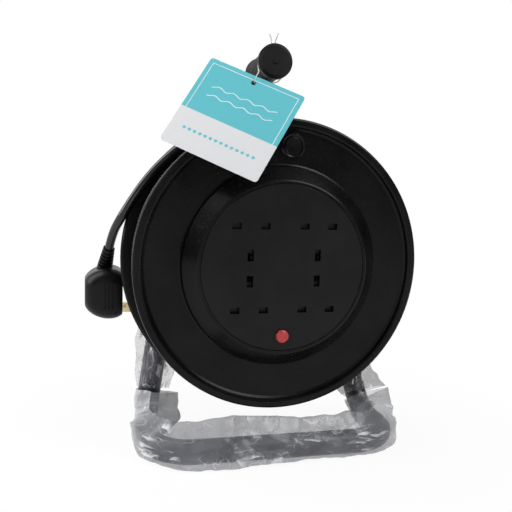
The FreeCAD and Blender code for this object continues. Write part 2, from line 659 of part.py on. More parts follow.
def tail_and_plug():
    """Free end of the flex down to its moulded plug beside the drum."""
    px, py, pz = PLUG_AT
    top = vec(px + 1.0, py, pz + PLUG_TALL / 2 - 2.0)
    points = [vec(r * math.cos(math.radians(a)), y, r * math.sin(math.radians(a)))
              for a, r, y in TAIL]
    last = points[-1]
    axis = (top - last).normalize()
    cord_end = top - axis * RELIEF_LENGTH
    points.append(cord_end)
    wire, radii = cord_wire(points)
    flex = sweep(wire, FLEX_R)
    put("tail_flex", flex)
    print("tail: length", round(wire.Length, 1), "radii", [round(r, 1) for r in radii],
          "volume ratio", round(flex.Volume / (math.pi * FLEX_R ** 2 * wire.Length), 4))
    relief = Part.makeCone(RELIEF_THIN_R, RELIEF_THICK_R, RELIEF_LENGTH, cord_end, axis)
    for step in range(5):
        at = cord_end + axis * (2.6 + 3.2 * step)
        groove = Part.makeCylinder(12, 1.4, at, axis)
        keep = Part.makeCylinder(FLEX_R + 0.9, 1.4, at, axis)
        relief = relief.cut(groove.cut(keep))
    put("plug_strain_relief", relief)
    plug(px, py, pz, relief)


def plug(px, py, pz, relief):
    """Moulded 13 A plug seen from its edge: pins point inward behind the drum."""
    face_x = px + PLUG_DEEP / 2
    sections = []
    for share, wide, tall in PLUG_SECTIONS:
        x = px - PLUG_DEEP / 2 + PLUG_DEEP * share
        half_y = PLUG_WIDE / 2 * wide
        half_z = PLUG_TALL / 2 * tall
        radius = min(half_y, half_z) * 0.55
        sections.append(rounded_wire(x, py, pz, half_y, half_z, radius))
    body = Part.makeLoft(sections, True, False)
    low, high = pz + DRAWER_Z[0], pz + DRAWER_Z[1]
    cuts = [block((face_x - DRAWER_DEEP - 1, face_x + 1), around(py, DRAWER_HALF_Y + EASY),
                  (low - EASY, high + EASY)), relief]
    for side in (-1, 1):
        edge = py + side * PLUG_WIDE / 2
        for step in (1.0, 4.0, 7.0):
            cuts.append(block(around(px + step, 0.6), around(edge, 1.2), around(pz, 11.0)))
    put("plug_body", cut_all(body, cuts))
    put("plug_fuse_drawer", block((face_x - DRAWER_DEEP, face_x), around(py, DRAWER_HALF_Y),
                                  (low, high)))
    length, half_y, half_z = EARTH_PIN
    put("plug_earth_pin", block((face_x, face_x + length), around(py, half_y),
                                around(pz - 14.0, half_z)))
    length, half_y, half_z = LINE_PIN
    line = [block((face_x, face_x + length), around(py + side * PIN_PITCH / 2, half_y),
                  around(pz - 14.0 + PIN_PITCH, half_z)) for side in (-1, 1)]
    put("plug_line_pins", Part.makeCompound(line))


def rounded_wire(x, y, z, half_y, half_z, radius):
    """Rounded rectangle in the plane at x, from lines and quarter arcs."""
    edges = []
    corners = ((1, 1), (-1, 1), (-1, -1), (1, -1))
    slant = radius * (1 - math.sqrt(0.5))
    starts = []
    for index, (sy, sz) in enumerate(corners):
        cy, cz = y + sy * half_y, z + sz * half_z
        a = vec(x, cy, cz - sz * radius)
        b = vec(x, cy - sy * radius, cz)
        if index % 2:
            a, b = b, a
        middle = vec(x, cy - sy * slant, cz - sz * slant)
        starts.append((a, b, middle))
    for index, (a, b, middle) in enumerate(starts):
        edges.append(Part.Arc(a, middle, b).toShape())
        following = starts[(index + 1) % 4][0]
        edges.append(Part.LineSegment(b, following).toShape())
    return Part.Wire(edges)


def tag_string(eye, normal, up):
    """String from a knot on the grip down through the eye, back under the grip to the knot."""
    def wrap(degrees, at):
        angle = math.radians(degrees)
        around_grip = vec(STRING_WRAP_R * math.cos(angle), at, STRING_WRAP_R * math.sin(angle))
        return GRIP_SPOT.multVec(around_grip)

    first = STRING_AT
    second = STRING_AT + STRING_STEP
    knot = GRIP_SPOT.multVec(vec(0, first + STRING_STEP / 2, GRIP_R + KNOT_R + 0.7))
    route = [knot + vec(-3.4, 0.6, 8.6), knot - Y_AXIS * (STRING_STEP / 2)]
    route += [wrap(angle, first) for angle in (115, 160, 205)]
    top = eye + up * (EYE_R - STRING_R - 0.1)
    route += [eye + up * 9 - normal * 3, top - normal * 4, top + normal * 5, vec(4, 51.5, 143.5)]
    route += [wrap(angle, second) for angle in (-65, -20, 25, 70)]
    route += [knot + Y_AXIS * (STRING_STEP / 2), knot + vec(3.6, -0.8, 9.4)]
    wire, radii = cord_wire(route)
    bead = Part.makeSphere(KNOT_R, knot)
    put("tag_string", fuse_all([sweep(wire, STRING_R), bead]))
    print("string: length", round(wire.Length, 1), "radii", [round(r, 1) for r in radii])


def hang_tag():
    """Thin square card that hangs by its eye and leans on the rim of the drum."""
    turn = (FreeCAD.Rotation(vec(0, 0, 1), TAG_SWING) * FreeCAD.Rotation(vec(1, 0, 0), TAG_LEAN)
            * FreeCAD.Rotation(Y_AXIS, TAG_TURN))
    half = TAG_SIDE / 2
    card = block(around(0, half), (-TAG_THICK, 0), around(0, half))
    corners = [e for e in card.Edges if abs(e.tangentAt(0).y) > 0.9]
    card = card.makeFillet(TAG_CORNER_R, corners).cut(disc(EYE_R, -1, 1, EYE_X, EYE_Z))
    spot = FreeCAD.Placement(vec(*TAG_AT), turn)
    card.Placement = spot
    put("hang_tag", card)
    normal = turn.multVec(Y_AXIS)
    up = turn.multVec(vec(0, 0, 1))
    tag_string(spot.multVec(vec(EYE_X, 0, EYE_Z)), normal, up)


def export():
    shapes = dict(PIECES)
    front = min(shapes[name].BoundBox.YMin for name in ("hang_tag", "base_film_sleeve"))
    rear = max(shapes[name].BoundBox.YMax for name in
               ("stand_tube", "handle_tube", "spindle_boss", "spindle"))
    shift = vec(0, -(rear + front) / 2, -FLOOR_Z)
    print("panel plane at y", round(shift.y, 3), "axis at z", round(shift.z, 3))
    os.makedirs("parts", exist_ok=True)
    for name, shape in PIECES:
        shape = shape.copy()
        shape.translate(shift)
        print(name, shape.isValid(), len(shape.Solids), round(shape.Volume, 1))
        shape.exportStep("parts/" + name + ".step")


stand()
film_sleeves()
handle_grip()
spindle()
front_flange()
knob()
socket_plate()
contact_block()
shutters()
electrics()
core_barrel()
rear_flange()
winding()
tail_and_plug()
hang_tag()
export()
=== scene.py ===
"""Studio scene of an open-drum extension cord reel on a bent tube stand.

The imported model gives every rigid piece. This script dresses them and builds what is soft:
the wound flex, its free end, the polythene wrappings of the stand, and the hang tag.
"""
import logging
import math
from dataclasses import dataclass, field
from enum import Enum
from typing import Optional, Sequence, Union

import bmesh
import bpy
from mathutils import Euler, Matrix, Vector, geometry, noise


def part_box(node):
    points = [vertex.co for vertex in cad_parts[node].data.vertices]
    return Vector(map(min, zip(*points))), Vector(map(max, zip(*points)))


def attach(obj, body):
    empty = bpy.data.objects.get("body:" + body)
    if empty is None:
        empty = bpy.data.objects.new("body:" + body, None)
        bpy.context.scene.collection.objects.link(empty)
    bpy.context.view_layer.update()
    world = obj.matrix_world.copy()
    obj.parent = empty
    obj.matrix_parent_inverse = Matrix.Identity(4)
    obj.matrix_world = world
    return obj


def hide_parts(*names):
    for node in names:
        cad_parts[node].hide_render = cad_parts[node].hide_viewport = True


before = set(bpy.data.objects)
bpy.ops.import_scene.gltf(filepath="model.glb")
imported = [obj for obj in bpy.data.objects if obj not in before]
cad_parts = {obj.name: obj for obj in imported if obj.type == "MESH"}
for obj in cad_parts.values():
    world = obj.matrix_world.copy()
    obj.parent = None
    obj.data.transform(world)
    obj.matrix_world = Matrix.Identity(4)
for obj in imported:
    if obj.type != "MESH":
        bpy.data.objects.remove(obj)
log = logging.getLogger("cord_reel")

Colour = tuple[float, float, float]
Place = tuple[float, float, float]
Number = Union[int, float]

WHITE: Colour = (1.0, 1.0, 1.0)
CORD_STEPS = 8
CORD_ROUNDNESS = 6


def mm(value: float) -> float:
    """Return millimetres as metres."""
    return value / 1000.0


class Body(Enum):
    """The rigid groups of the reel that the soft pieces ride on."""

    STAND = "stand"
    DRUM = "drum"


class Signal:
    """A shader socket that takes part in plain arithmetic.

    Each operator adds one Math node to the shader that owns the socket.
    """

    def __init__(self, shader: "Graph", socket: bpy.types.NodeSocket) -> None:
        """Keep an output socket and the shader that it belongs to."""
        self.shader = shader
        self.socket = socket

    def _math(self, operation: str, first: "Term", second: "Term") -> "Signal":
        """Return a Math node's result for two terms."""
        settings = {"operation": operation}
        return self.shader.add("ShaderNodeMath", settings, {0: first, 1: second}).out(0)

    def __add__(self, other: "Term") -> "Signal":
        """Return the sum."""
        return self._math("ADD", self, other)

    __radd__ = __add__

    def __sub__(self, other: "Term") -> "Signal":
        """Return the difference."""
        return self._math("SUBTRACT", self, other)

    def __rsub__(self, other: "Term") -> "Signal":
        """Return the difference from the other term."""
        return self._math("SUBTRACT", other, self)

    def __mul__(self, other: "Term") -> "Signal":
        """Return the product."""
        return self._math("MULTIPLY", self, other)

    __rmul__ = __mul__

    def __pow__(self, other: "Term") -> "Signal":
        """Return the power."""
        return self._math("POWER", self, other)

    def __gt__(self, other: "Term") -> "Signal":
        """Return 1 where this is the greater, else 0."""
        return self._math("GREATER_THAN", self, other)

    def __lt__(self, other: "Term") -> "Signal":
        """Return 1 where this is the lesser, else 0."""
        return self._math("LESS_THAN", self, other)

    def size(self) -> "Signal":
        """Return the value without its sign."""
        return self._math("ABSOLUTE", self, 0.0)

    def wave(self) -> "Signal":
        """Return the sine."""
        return self._math("SINE", self, 0.0)

    def spread(self, low: float, high: float) -> "Signal":
        """Return the value stretched so that low to high runs from 0 to 1, clamped.

        Args:
            low: The value that gives 0.
            high: The value that gives 1.

        Returns:
            The clamped share.
        """
        inputs = {"Value": self, "From Min": low, "From Max": high}
        return self.shader.add("ShaderNodeMapRange", {"clamp": True}, inputs).out("Result")


Term = Union[Signal, Number]


class Added:
    """A node that was added to a node tree."""

    def __init__(self, shader: "Graph", node: bpy.types.Node) -> None:
        """Keep the node and its shader."""
        self.shader = shader
        self.node = node

    def out(self, name: Union[str, int]) -> Signal:
        """Return one output of the node as a signal."""
        return Signal(self.shader, self.node.outputs[name])


class Graph:
    """A node tree and helpers that add nodes to it."""

    def __init__(self, tree: bpy.types.NodeTree, coordinate: str) -> None:
        """Keep the tree, and the output of Texture Coordinate that its patterns read."""
        self.tree = tree
        self.place = self.add("ShaderNodeTexCoord").out(coordinate)

    def add(self, kind: str, settings: Optional[dict] = None,
            inputs: Optional[dict] = None) -> Added:
        """Add a node.

        Args:
            kind: The node's type.
            settings: Its properties, which are set first.
            inputs: Values or signals for its sockets, by name or number.

        Returns:
            The node.
        """
        node = self.tree.nodes.new(kind)
        for key, value in (settings or {}).items():
            setattr(node, key, value)
        for key, value in (inputs or {}).items():
            if isinstance(value, Signal):
                self.tree.links.new(value.socket, node.inputs[key])
            else:
                node.inputs[key].default_value = value
        return Added(self, node)

    def noise(self, scale: float, detail: float = 2.0, where: Optional[Signal] = None) -> Signal:
        """Return noise from about 0 to 1.

        Args:
            scale: Cells per metre.
            detail: Octaves.
            where: The coordinate, or the object's own.

        Returns:
            The noise.
        """
        inputs = {"Vector": where or self.place, "Scale": scale, "Detail": detail}
        return self.add("ShaderNodeTexNoise", None, inputs).out("Fac")

    def pebbles(self, scale: float) -> Signal:
        """Return a field of rounded pebbles, with so many of them per metre."""
        inputs = {"Vector": self.place, "Scale": scale}
        return self.add("ShaderNodeTexVoronoi", {"feature": "SMOOTH_F1"}, inputs).out("Distance")

    def facets(self, scale: float, where: Signal) -> tuple[Signal, Signal]:
        """Return a field of flat tilted facets, each a lean plane about its own middle.

        Args:
            scale: Facets per metre.
            where: The coordinate.

        Returns:
            The height from about 0 to 1, and a random value for each facet.
        """
        cell = self.add("ShaderNodeTexVoronoi", None, {"Vector": where, "Scale": scale})
        take = {"operation": "SUBTRACT"}
        from_middle = {0: where, 1: cell.out("Position")}
        away = self.add("ShaderNodeVectorMath", take, from_middle).out(0)
        from_grey = {0: cell.out("Color"), 1: (0.5, 0.5, 0.5)}
        lean = self.add("ShaderNodeVectorMath", take, from_grey).out(0)
        rise = self.add("ShaderNodeVectorMath", {"operation": "DOT_PRODUCT"}, {0: away, 1: lean})
        return rise.out("Value") * scale + 0.5, self.parts(cell.out("Color"))[0]

    def parts(self, where: Signal) -> tuple[Signal, Signal, Signal]:
        """Return the three parts of a vector."""
        split = self.add("ShaderNodeSeparateXYZ", None, {0: where})
        return split.out(0), split.out(1), split.out(2)

    def blend(self, share: Signal, low: Union[Colour, Signal],
              high: Union[Colour, Signal]) -> Signal:
        """Return a colour between two.

        Args:
            share: 0 for the first colour and 1 for the second.
            low: The first colour.
            high: The second colour.

        Returns:
            The mixed colour.
        """
        first = low if isinstance(low, Signal) else (*low, 1.0)
        second = high if isinstance(high, Signal) else (*high, 1.0)
        settings = {"data_type": "RGBA"}
        inputs = {0: share, 6: first, 7: second}
        return self.add("ShaderNodeMix", settings, inputs).out(2)


class Shader(Graph):
    """One material with a Principled surface."""

    def __init__(self, name: str, coordinate: str = "Object") -> None:
        """Make the material.

        Args:
            name: The finish's name.
            coordinate: What its patterns read: the object's place or its UV map.
        """
        self.material = bpy.data.materials.new(name)
        self.material.use_nodes = True
        super().__init__(self.material.node_tree, coordinate)
        self.surface = self.tree.nodes["Principled BSDF"]

    def relief(self, height: Signal, depth: float, strength: float) -> None:
        """Raise the surface by a height signal.

        Args:
            height: The height from 0 to 1.
            depth: What 1 stands for, in metres.
            strength: The share of the effect.
        """
        inputs = {"Height": height, "Distance": depth, "Strength": strength}
        bump = self.add("ShaderNodeBump", None, inputs).out("Normal")
        self.feed("Normal", bump)

    def feed(self, name: str, value: Union[Signal, Number, Colour]) -> None:
        """Give a socket of the surface a signal or a value.

        Args:
            name: The socket's name.
            value: What it gets.
        """
        socket = self.surface.inputs[name]
        if isinstance(value, Signal):
            self.tree.links.new(value.socket, socket)
        elif isinstance(value, tuple):
            socket.default_value = (*value, 1.0)
        else:
            socket.default_value = value


@dataclass(frozen=True)
class Moulding:
    """Injection-moulded plastic: fine spark-eroded grain, flow marks and faint scuffs."""

    name: str
    colour: Colour
    roughness: float = 0.42
    grain_mm: float = 0.35
    grain_depth_mm: float = 0.007
    scuffs: float = 0.012
    specular: float = 0.5
    grain_strength: float = 0.2
    flow_per_m: float = 28.0
    dust_per_m: float = 420.0
    dust: Colour = (0.30, 0.30, 0.30)

    def make(self) -> bpy.types.Material:
        """Return the material."""
        shader = Shader(self.name)
        fine = shader.noise(1000.0 / self.grain_mm, 2.0)
        flow = shader.noise(self.flow_per_m, 3.0)
        dusty = shader.noise(self.dust_per_m, 4.0).spread(0.56, 0.78)
        lift = tuple(channel * 1.5 + 0.004 for channel in self.colour)
        tone = shader.blend(flow.spread(0.3, 0.7), self.colour, lift)
        shader.feed("Base Color", shader.blend(dusty * self.scuffs, tone, self.dust))
        shader.feed("Roughness", self.roughness + (flow - 0.5) * 0.10 + dusty * 0.12)
        shader.feed("Specular IOR Level", self.specular)
        shader.relief(fine, mm(self.grain_depth_mm), self.grain_strength)
        return shader.material


@dataclass(frozen=True)
class Sheath:
    """Extruded flex sheath: smooth and glossy, with slow waves and dull smears."""

    name: str
    colour: Colour = (0.0026, 0.0026, 0.0029)
    smeared: Colour = (0.009, 0.009, 0.010)
    roughness: float = 0.11
    specular: float = 0.5
    waves_per_m: float = 160.0
    wave_mm: float = 0.08
    smears_per_m: float = 60.0

    def make(self) -> bpy.types.Material:
        """Return the material."""
        shader = Shader(self.name)
        smear = shader.noise(self.smears_per_m, 3.0).spread(0.4, 0.75)
        shader.feed("Base Color", shader.blend(smear * 0.5, self.colour, self.smeared))
        shader.feed("Roughness", self.roughness + smear * 0.12)
        shader.feed("Specular IOR Level", self.specular)
        shader.relief(shader.noise(self.waves_per_m, 2.0), mm(self.wave_mm), 0.5)
        return shader.material


@dataclass(frozen=True)
class PowderCoat:
    """Powder-coated tube: fine orange peel and a little chalkiness."""

    name: str
    colour: Colour
    roughness: float = 0.38
    peel_per_m: float = 900.0
    peel_mm: float = 0.06
    clouds_per_m: float = 35.0

    def make(self) -> bpy.types.Material:
        """Return the material."""
        shader = Shader(self.name)
        cloud = shader.noise(self.clouds_per_m, 3.0)
        pale = tuple(channel * 1.35 for channel in self.colour)
        shader.feed("Base Color", shader.blend(cloud, self.colour, pale))
        shader.feed("Roughness", self.roughness + (cloud - 0.5) * 0.12)
        shader.relief(shader.pebbles(self.peel_per_m), mm(self.peel_mm), 0.5)
        return shader.material


@dataclass(frozen=True)
class Metal:
    """Plated or turned metal with fine drawn lines and dull spots."""

    name: str
    colour: Colour
    roughness: float = 0.3
    spots_per_m: float = 300.0
    lines_per_m: float = 2600.0
    line_mm: float = 0.01

    def make(self) -> bpy.types.Material:
        """Return the material."""
        shader = Shader(self.name)
        spots = shader.noise(self.spots_per_m, 3.0).spread(0.5, 0.75)
        dull = tuple(channel * 0.7 for channel in self.colour)
        shader.feed("Metallic", 1.0)
        shader.feed("Base Color", shader.blend(spots, self.colour, dull))
        shader.feed("Roughness", self.roughness + spots * 0.2)
        shader.relief(shader.noise(self.lines_per_m, 2.0), mm(self.line_mm), 0.5)
        return shader.material


@dataclass(frozen=True)
class Polythene:
    """Thin film on its own UV map, in metres along and round: hazy, with crumpled patches.

    Where it is bunched, further than a distance from the middle of its map, it is milkier. Glints
    are painted on it. In the crumpled patches a share of the facets is painted near white and near
    opaque, and thin crease streaks are painted whiter. The streaks are partly real crease
    whitening and partly painted highlight.
    """

    name: str
    tint: Colour
    cover: float
    bunched_from: float = 1.0
    clear_before: float = -1.0
    smooth: float = 0.48
    # White for the milky haze and bunching, and for the painted glints and crease streaks; the
    # cover below is how opaque the glints and streaks are.
    milky_and_glint_white: Colour = (0.86, 0.87, 0.91)
    crease_and_glint_cover: float = 0.78
    drifts_per_m: float = 90.0
    crumples_per_m: float = 36.0
    haze_per_m: float = 55.0
    facets_per_m: float = 300.0
    creases_per_m: float = 80.0
    fine_creases_per_m: float = 150.0
    relief_mm: float = 2.0

    def streaks(self, shader: Shader, where: Signal, scale: float, width: float) -> Signal:
        """Return thin creases that run along the lines of a noise.

        Args:
            shader: The material's tree.
            where: The coordinate.
            scale: Creases per metre.
            width: Their width as a share of the noise.

        Returns:
            1 on a streak and 0 off it.
        """
        return 1.0 - (shader.noise(scale, 1.0, where) - 0.5).size().spread(0.0, width)

    def make(self) -> bpy.types.Material:
        """Return the material."""
        shader = Shader(self.name, "UV")
        drift = shader.add("ShaderNodeTexNoise", None,
                           {"Vector": shader.place, "Scale": self.drifts_per_m})
        bent = shader.add("ShaderNodeVectorMath", {"operation": "MULTIPLY_ADD"},
                          {0: drift.out("Color"), 1: (0.008, 0.008, 0.0), 2: shader.place}).out(0)
        drawn = shader.add("ShaderNodeMapping", None,
                           {"Vector": bent, "Scale": (0.28, 1.0, 1.0),
                            "Rotation": (0.0, 0.0, 0.45)}).out(0)
        crumpled = shader.noise(self.crumples_per_m, 2.0).spread(self.smooth, self.smooth + 0.09)
        haze = shader.noise(self.haze_per_m, 3.0).spread(0.3, 0.75)
        height, chance = shader.facets(self.facets_per_m, drawn)
        # Painted glints: in crumpled patches a random share of the facets is painted near white
        # and near opaque, lighter towards the raised side of each facet.
        painted_glints = (chance > 0.76) * crumpled
        drawn_tight = shader.noise(60.0, 2.0).spread(self.smooth, self.smooth + 0.14)
        # Crease streaks, painted whiter below: partly real crease whitening and partly painted
        # highlight.
        creases = self.streaks(shader, drawn, self.creases_per_m, 0.014) * drawn_tight
        fine = self.streaks(shader, bent, self.fine_creases_per_m, 0.012) * crumpled
        painted_glints_and_crease_white = (painted_glints * height.spread(0.40, 0.66) + creases * 0.7 + fine * 0.5).spread(0.0, 1.0)
        along = shader.parts(shader.place)[0]
        bunched = along.size().spread(self.bunched_from, self.bunched_from + 0.035)
        bunched = bunched * along.spread(self.clear_before, self.clear_before + 0.018)
        cover = self.cover * (1.0 + bunched * 0.36)
        pale = shader.blend(haze * 0.25 + bunched * 0.62, self.tint, self.milky_and_glint_white)
        # Painted highlight: the glints and crease streaks are mixed towards white here and made
        # more opaque in the alpha below.
        shader.feed("Base Color", shader.blend(painted_glints_and_crease_white * 0.85, pale, self.milky_and_glint_white))
        shader.feed("Roughness", 0.16 + haze * 0.16)
        veil = cover * (0.86 + haze * 0.28)
        shader.feed("Alpha", veil + painted_glints_and_crease_white * (self.crease_and_glint_cover - self.cover))
        shader.relief(height * crumpled + haze * 0.4, mm(self.relief_mm), 0.9)
        return shader.material


@dataclass(frozen=True)
class Cotton:
    """Twisted cotton string, with painted shade in the grooves between its plies."""

    name: str
    colour: Colour = (0.80, 0.79, 0.76)
    # Painted shade: the darker colour of the ply grooves.
    groove: Colour = (0.52, 0.51, 0.49)
    twist: float = 5200.0
    groove_mm: float = 0.2

    def make(self) -> bpy.types.Material:
        """Return the material."""
        shader = Shader(self.name)
        x, y, z = shader.parts(shader.place)
        ply = ((x + y + z) * self.twist).wave() * 0.5 + 0.5
        fuzz = shader.noise(4000.0, 3.0)
        # Painted shade: the colour darkens into the ply grooves, which the bump below also sinks.
        shader.feed("Base Color", shader.blend(ply, self.groove, self.colour))
        shader.feed("Roughness", 0.82 + fuzz * 0.1)
        shader.relief(ply, mm(self.groove_mm), 0.8)
        return shader.material


@dataclass(frozen=True)
class PrintedCard:
    """Coated card printed in two tones, with waves on the field and diamonds on the band.

    The print's sizes are shares of the card's side, counted from its centre.
    """

    name: str
    centre: Vector
    turn: Euler
    side: float
    field: Colour = (0.127, 0.565, 0.640)
    band: Colour = (0.79, 0.80, 0.82)
    line: Colour = (0.78, 0.90, 0.92)
    band_top: float = -0.092
    frame_at: float = 0.452
    frame_half: float = 0.0035
    waves_at: float = 0.17
    waves_apart: float = 0.10
    waves_half: float = 0.0045
    waves_rise: float = 0.012
    waves_reach: float = 0.34
    waves_turn: float = 42.0
    diamonds_at: float = -0.29
    diamonds_apart: float = 0.11
    diamonds_half: float = 0.020
    diamonds_reach: float = 0.39

    def make(self) -> bpy.types.Material:
        """Return the material."""
        shader = Shader(self.name)
        local = shader.add("ShaderNodeMapping", {"vector_type": "TEXTURE"},
                           {"Vector": shader.place, "Location": self.centre,
                            "Rotation": self.turn, "Scale": (self.side,) * 3}).out(0)
        x, y, z = shader.parts(local)
        low = z < self.band_top
        tone = shader.blend(low, self.field, self.band)
        inset = (x.size() > z.size()) * x.size() + (x.size() < z.size() + 0.0001) * z.size()
        border = (inset - self.frame_at).size() < self.frame_half
        tone = shader.blend(border * (1.0 - low), tone, self.line)
        wave = (x * self.waves_turn).wave() * self.waves_rise
        from_pair = (z - self.waves_at - wave).size() - self.waves_apart / 2
        pair = (from_pair.size() < self.waves_half) * (x.size() < self.waves_reach)
        tone = shader.blend(pair, tone, self.line)
        fold = self.diamonds_apart / 2
        step = shader.add("ShaderNodeMath", {"operation": "PINGPONG"}, {0: x, 1: fold}).out(0)
        across = (step - fold / 2).size() + (z - self.diamonds_at).size()
        diamonds = (across < self.diamonds_half) * (x.size() < self.diamonds_reach)
        tone = shader.blend(diamonds, tone, self.field)
        fibre = shader.noise(900.0, 3.0)
        tone = shader.blend(y > 0.0, tone, self.band)
        shader.feed("Base Color", tone)
        shader.feed("Roughness", 0.40 + fibre * 0.10)
        shader.relief(fibre, mm(0.02), 0.4)
        return shader.material


@dataclass(frozen=True)
class Palette:
    """Every finish of the reel."""

    drum: Moulding = Moulding("drum_plastic", (0.0021, 0.0021, 0.0022), 0.25, specular=0.14)
    panel: Moulding = Moulding("panel_plastic", (0.0034, 0.0034, 0.0034), 0.34, 0.25,
                               specular=0.20)
    knob: Moulding = Moulding("knob_plastic", (0.0022, 0.0022, 0.0024), 0.25, specular=0.22)
    grip: Moulding = Moulding("grip_rubber", (0.0058, 0.0058, 0.0060), 0.45, 0.5, specular=0.2)
    plug: Moulding = Moulding("plug_plastic", (0.0020, 0.0020, 0.0021), 0.32, 0.45, specular=0.15)
    inner: Moulding = Moulding("inner_plastic", (0.012, 0.012, 0.0125), 0.5, specular=0.3)
    shutter: Moulding = Moulding("shutter_plastic", (0.020, 0.011, 0.008), 0.45, specular=0.3)
    button: Moulding = Moulding("button_plastic", (0.46, 0.052, 0.050), 0.30, 0.6, 0.004,
                                specular=0.3)
    tube: PowderCoat = PowderCoat("tube_coat", (0.012, 0.0128, 0.0155))
    sheath: Sheath = Sheath("flex_sheath")
    zinc: Metal = Metal("zinc_steel", (0.62, 0.62, 0.63), 0.32)
    brass: Metal = Metal("plated_brass", (0.72, 0.60, 0.36), 0.26)
    film: Polythene = Polythene("polythene_film", (0.205, 0.210, 0.238), 0.50, 0.098, -0.146)
    thin_film: Polythene = Polythene("thin_polythene_film", (0.38, 0.38, 0.43), 0.22, smooth=0.40)
    # Painted shade: a darker copy of the film for the right leg, which lies in shade.
    painted_shade_film: Polythene = Polythene("painted_shade_polythene_film", (0.085, 0.085, 0.092), 0.42,
                                        smooth=0.44)
    string: Cotton = Cotton("cotton_string")


def mesh_object(name: str, bm: bmesh.types.BMesh) -> bpy.types.Object:
    """Turn a bmesh into an object of the scene.

    Args:
        name: The piece's name.
        bm: The finished bmesh, which is freed.

    Returns:
        The new object at the origin.
    """
    mesh = bpy.data.meshes.new(name)
    bm.to_mesh(mesh)
    bm.free()
    piece = bpy.data.objects.new(name, mesh)
    bpy.context.scene.collection.objects.link(piece)
    return piece


def shade(piece: bpy.types.Object, material: bpy.types.Material, smooth: bool = True) -> None:
    """Give a piece its material.

    Args:
        piece: A mesh or curve object.
        material: Its finish.
        smooth: Whether its faces are shaded smooth.
    """
    piece.data.materials.clear()
    piece.data.materials.append(material)
    if smooth and piece.type == "MESH":
        piece.data.polygons.foreach_set("use_smooth", [True] * len(piece.data.polygons))


def dress(names: Sequence[str], material: bpy.types.Material) -> None:
    """Give carried-over nodes a finish by their object's slots.

    Args:
        names: Node names.
        material: Their finish.
    """
    for name in names:
        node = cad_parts[name]
        if not node.material_slots:
            node.data.materials.append(material)
        for slot in node.material_slots:
            slot.material = material


def nurbs(name: str, points: Sequence[Vector], radius: float) -> bpy.types.Object:
    """Return a round cord on one smooth curve.

    Args:
        name: The cord's name.
        points: The control points.
        radius: The cord's radius.

    Returns:
        The curve object.
    """
    curve = bpy.data.curves.new(name, "CURVE")
    curve.dimensions = "3D"
    spline = curve.splines.new("NURBS")
    spline.points.add(len(points) - 1)
    for control, point in zip(spline.points, points):
        control.co = (*point, 1.0)
    spline.order_u = 3
    spline.use_endpoint_u = True
    spline.resolution_u = CORD_STEPS
    curve.bevel_depth = radius
    curve.bevel_resolution = CORD_ROUNDNESS
    curve.use_fill_caps = True
    piece = bpy.data.objects.new(name, curve)
    bpy.context.scene.collection.objects.link(piece)
    return piece


@dataclass
class Layout:
    """Places that the other classes share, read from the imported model."""

    panel_y: float = field(init=False)
    axis: Vector = field(init=False)

    def __post_init__(self) -> None:
        """Read the drum axis and the panel's front face."""
        low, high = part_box("front_flange")
        self.panel_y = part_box("socket_plate")[0][1]
        self.axis = Vector((0.0, 0.0, (low[2] + high[2]) / 2))

    def at(self, x: float, y: float, z: float) -> Vector:
        """Return a point given in mm from the centre of the panel's face."""
        return Vector((mm(x), self.panel_y + mm(y), self.axis.z + mm(z)))


@dataclass(frozen=True)
class SoftBox:
    """A lamp that faces the drum: place in mm from the panel, size in metres, power in watts."""

    name: str
    at: Place
    size: tuple[float, float]
    watts: float


